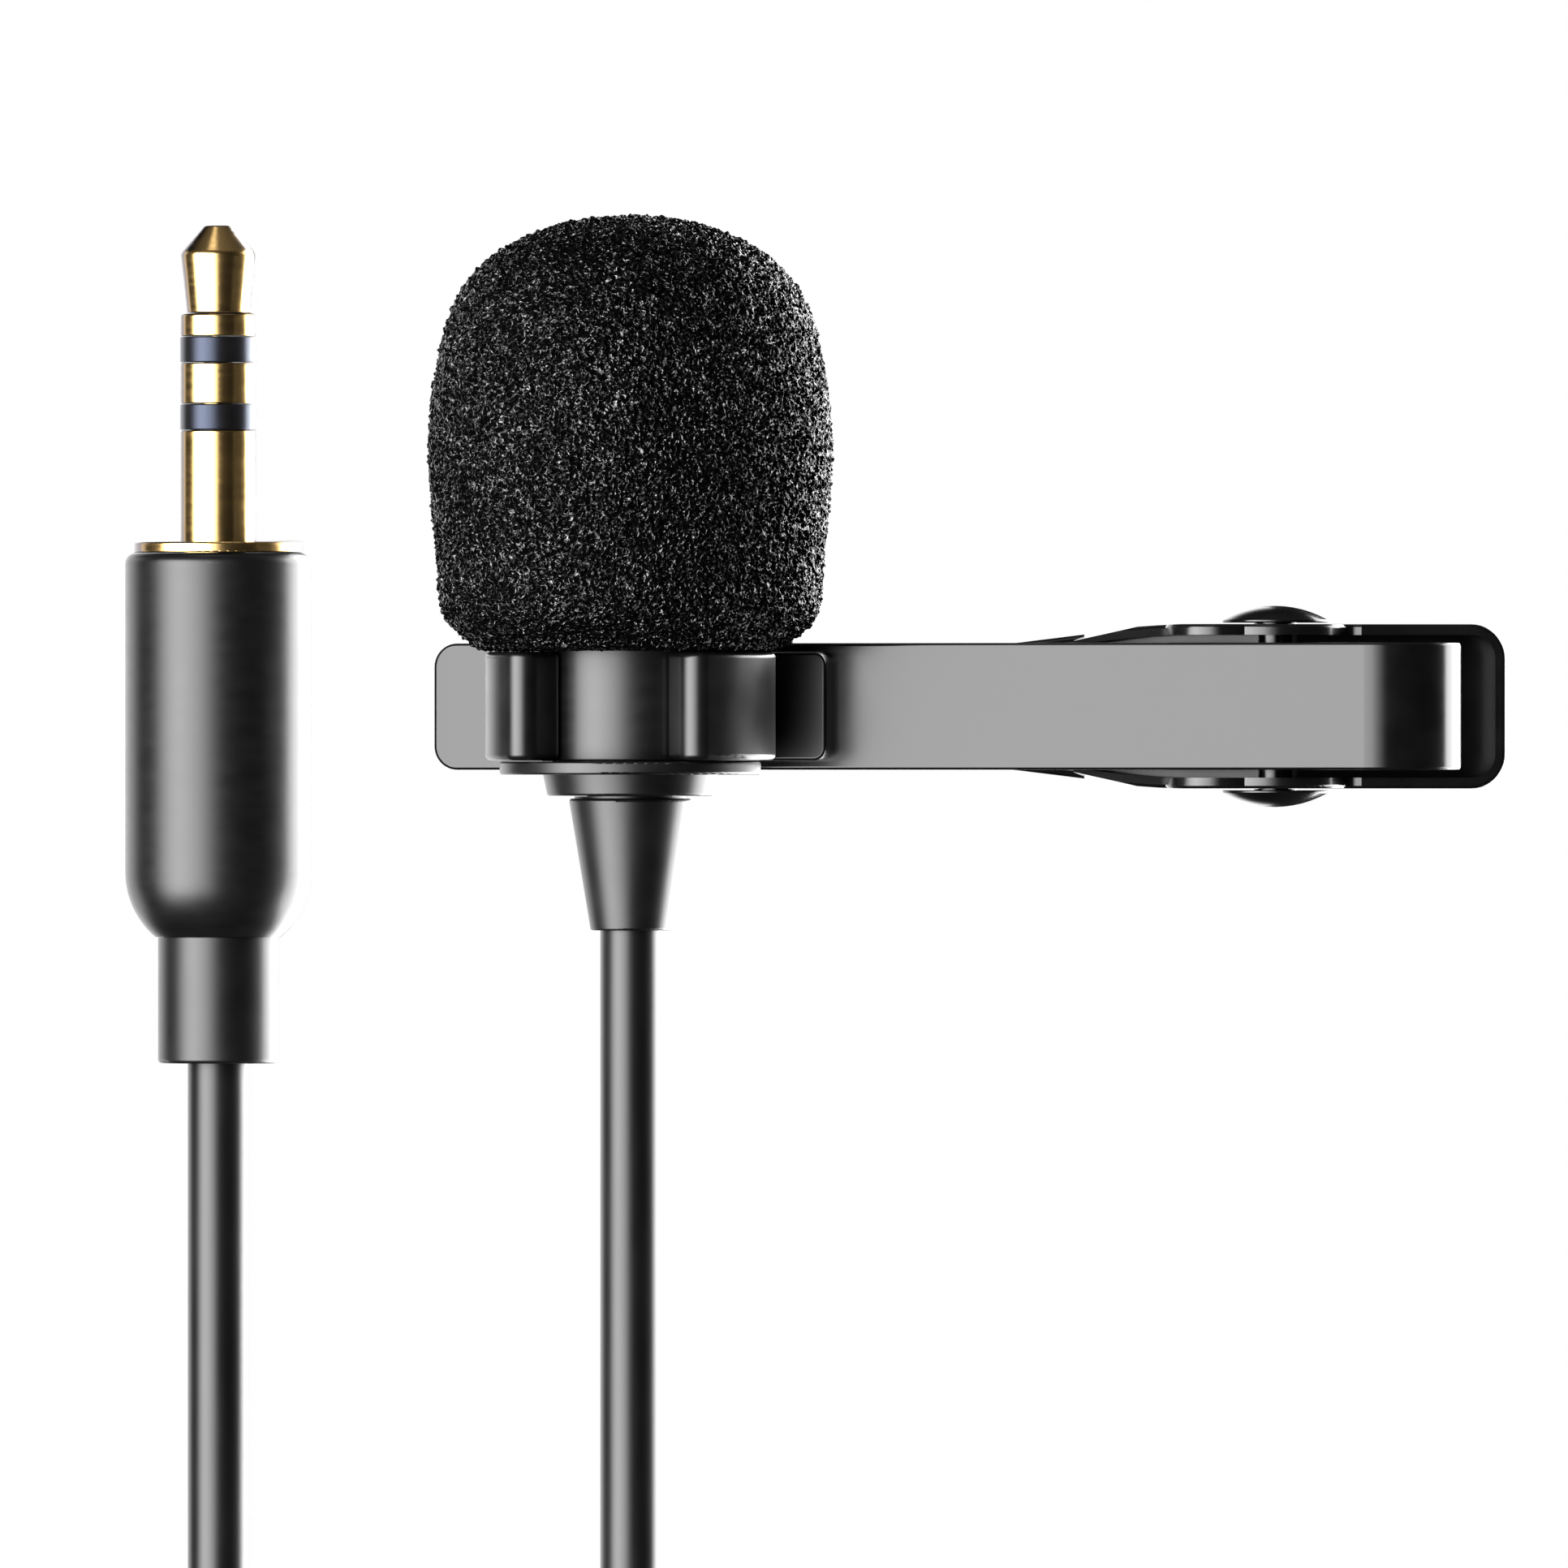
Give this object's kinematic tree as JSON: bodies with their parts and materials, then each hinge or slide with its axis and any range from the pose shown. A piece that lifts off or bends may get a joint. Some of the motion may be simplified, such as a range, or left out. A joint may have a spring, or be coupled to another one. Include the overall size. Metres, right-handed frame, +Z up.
{
  "type": "lavalier microphone",
  "caption": "Clip-on lavalier microphone with a foam windscreen, a sprung cloth clip, a coiled lead and a straight 3.5 mm jack plug.",
  "frame": {"origin": "on the back (cloth) face of the clip's arm, level with the microphone's axis and the middle of its clamp", "axes": "+Z up along the microphone; +X along the clip's arm towards its tail; -Y is the front, so +Y points through the cloth to the lever"},
  "size_m": [0.076, 0.0268, 0.1273],
  "materials": {
    "black_steel": "semi-gloss black lacquer on pressed steel",
    "black_plastic": "semi-gloss moulded black plastic",
    "black_aluminium": "satin black anodised",
    "plug_shell": "satin black lacquered shell",
    "foam": "open-cell black foam",
    "black_rubber": "satin moulded rubber",
    "cable_jacket": "satin extruded jacket",
    "gold": "gold plated, polished",
    "band_plastic": "dark blue-grey moulded insulator",
    "spring_steel": "drawn wire",
    "rivet_steel": "zinc plated",
    "can_aluminium": "drawn can",
    "white_plastic": "moulded insulator",
    "backplate_brass": "plated",
    "film": "metallised film",
    "board": "glass-epoxy board",
    "chip": "moulded package",
    "wire_skin": "wire insulation",
    "felt": "felt"
  },
  "bodies": {
    "clip": {"clip_arm": "black_steel", "mic_clamp": "black_plastic", "clamp_rivets": "rivet_steel", "pivot_bracket": "black_steel", "hinge_pin": "black_steel", "torsion_spring": "spring_steel"},
    "lever": {"clip_lever": "black_steel"},
    "mic": {"mic_housing": "black_aluminium", "mic_grille": "black_aluminium", "mic_base": "black_aluminium", "strain_relief": "black_rubber", "capsule_boot": "black_rubber", "capsule_can": "can_aluminium", "dust_felt": "felt", "diaphragm": "film", "spacer_ring": "white_plastic", "backplate": "backplate_brass", "capsule_insulator": "white_plastic", "jfet": "chip", "capsule_board": "board", "mic_wires": "wire_skin"},
    "windscreen": {"windscreen": "foam"},
    "lead": {"cable": "cable_jacket"},
    "plug": {"plug_tip": "gold", "tip_insulator": "band_plastic", "plug_ring": "gold", "ring_insulator": "band_plastic", "plug_sleeve": "gold", "plug_core": "white_plastic", "plug_terminals": "gold", "plug_wires": "wire_skin", "cable_crimp": "rivet_steel", "plug_housing": "plug_shell", "plug_strain_relief": "black_rubber"}
  },
  "joints": [
    {"name": "lever_squeeze", "type": "hinge", "parent": "clip", "child": "lever", "pos_m": [0.0279, 0.0036, 0], "axis": [0, 0, -1], "range_deg": [0, 25], "stiffness_Nm_per_rad": 0.01, "springref_deg": -45.84, "deforming": ["torsion_spring"]},
    {"name": "mic_turn", "type": "hinge", "parent": "clip", "child": "mic", "pos_m": [0, -0.0084, 0], "axis": [0, 0, 1], "range_deg": [-180, 180]},
    {"name": "windscreen_pull", "type": "slide", "parent": "mic", "child": "windscreen", "axis": [0, 0, 1], "range_m": [0, 0.014]},
    {"name": "cable_sway", "type": "hinge", "parent": "clip", "child": "lead", "pos_m": [0, -0.0084, -0.0125], "axis": [1, 0, 0], "range_deg": [-30, 30], "deforming": ["cable"]},
    {"name": "plug_swing", "type": "hinge", "parent": "lead", "child": "plug", "pos_m": [-0.0198, -0.0084, -0.042], "axis": [0, -1, 0], "range_deg": [-4, 75], "stiffness_Nm_per_rad": 0.005, "deforming": ["cable"]}
  ]
}
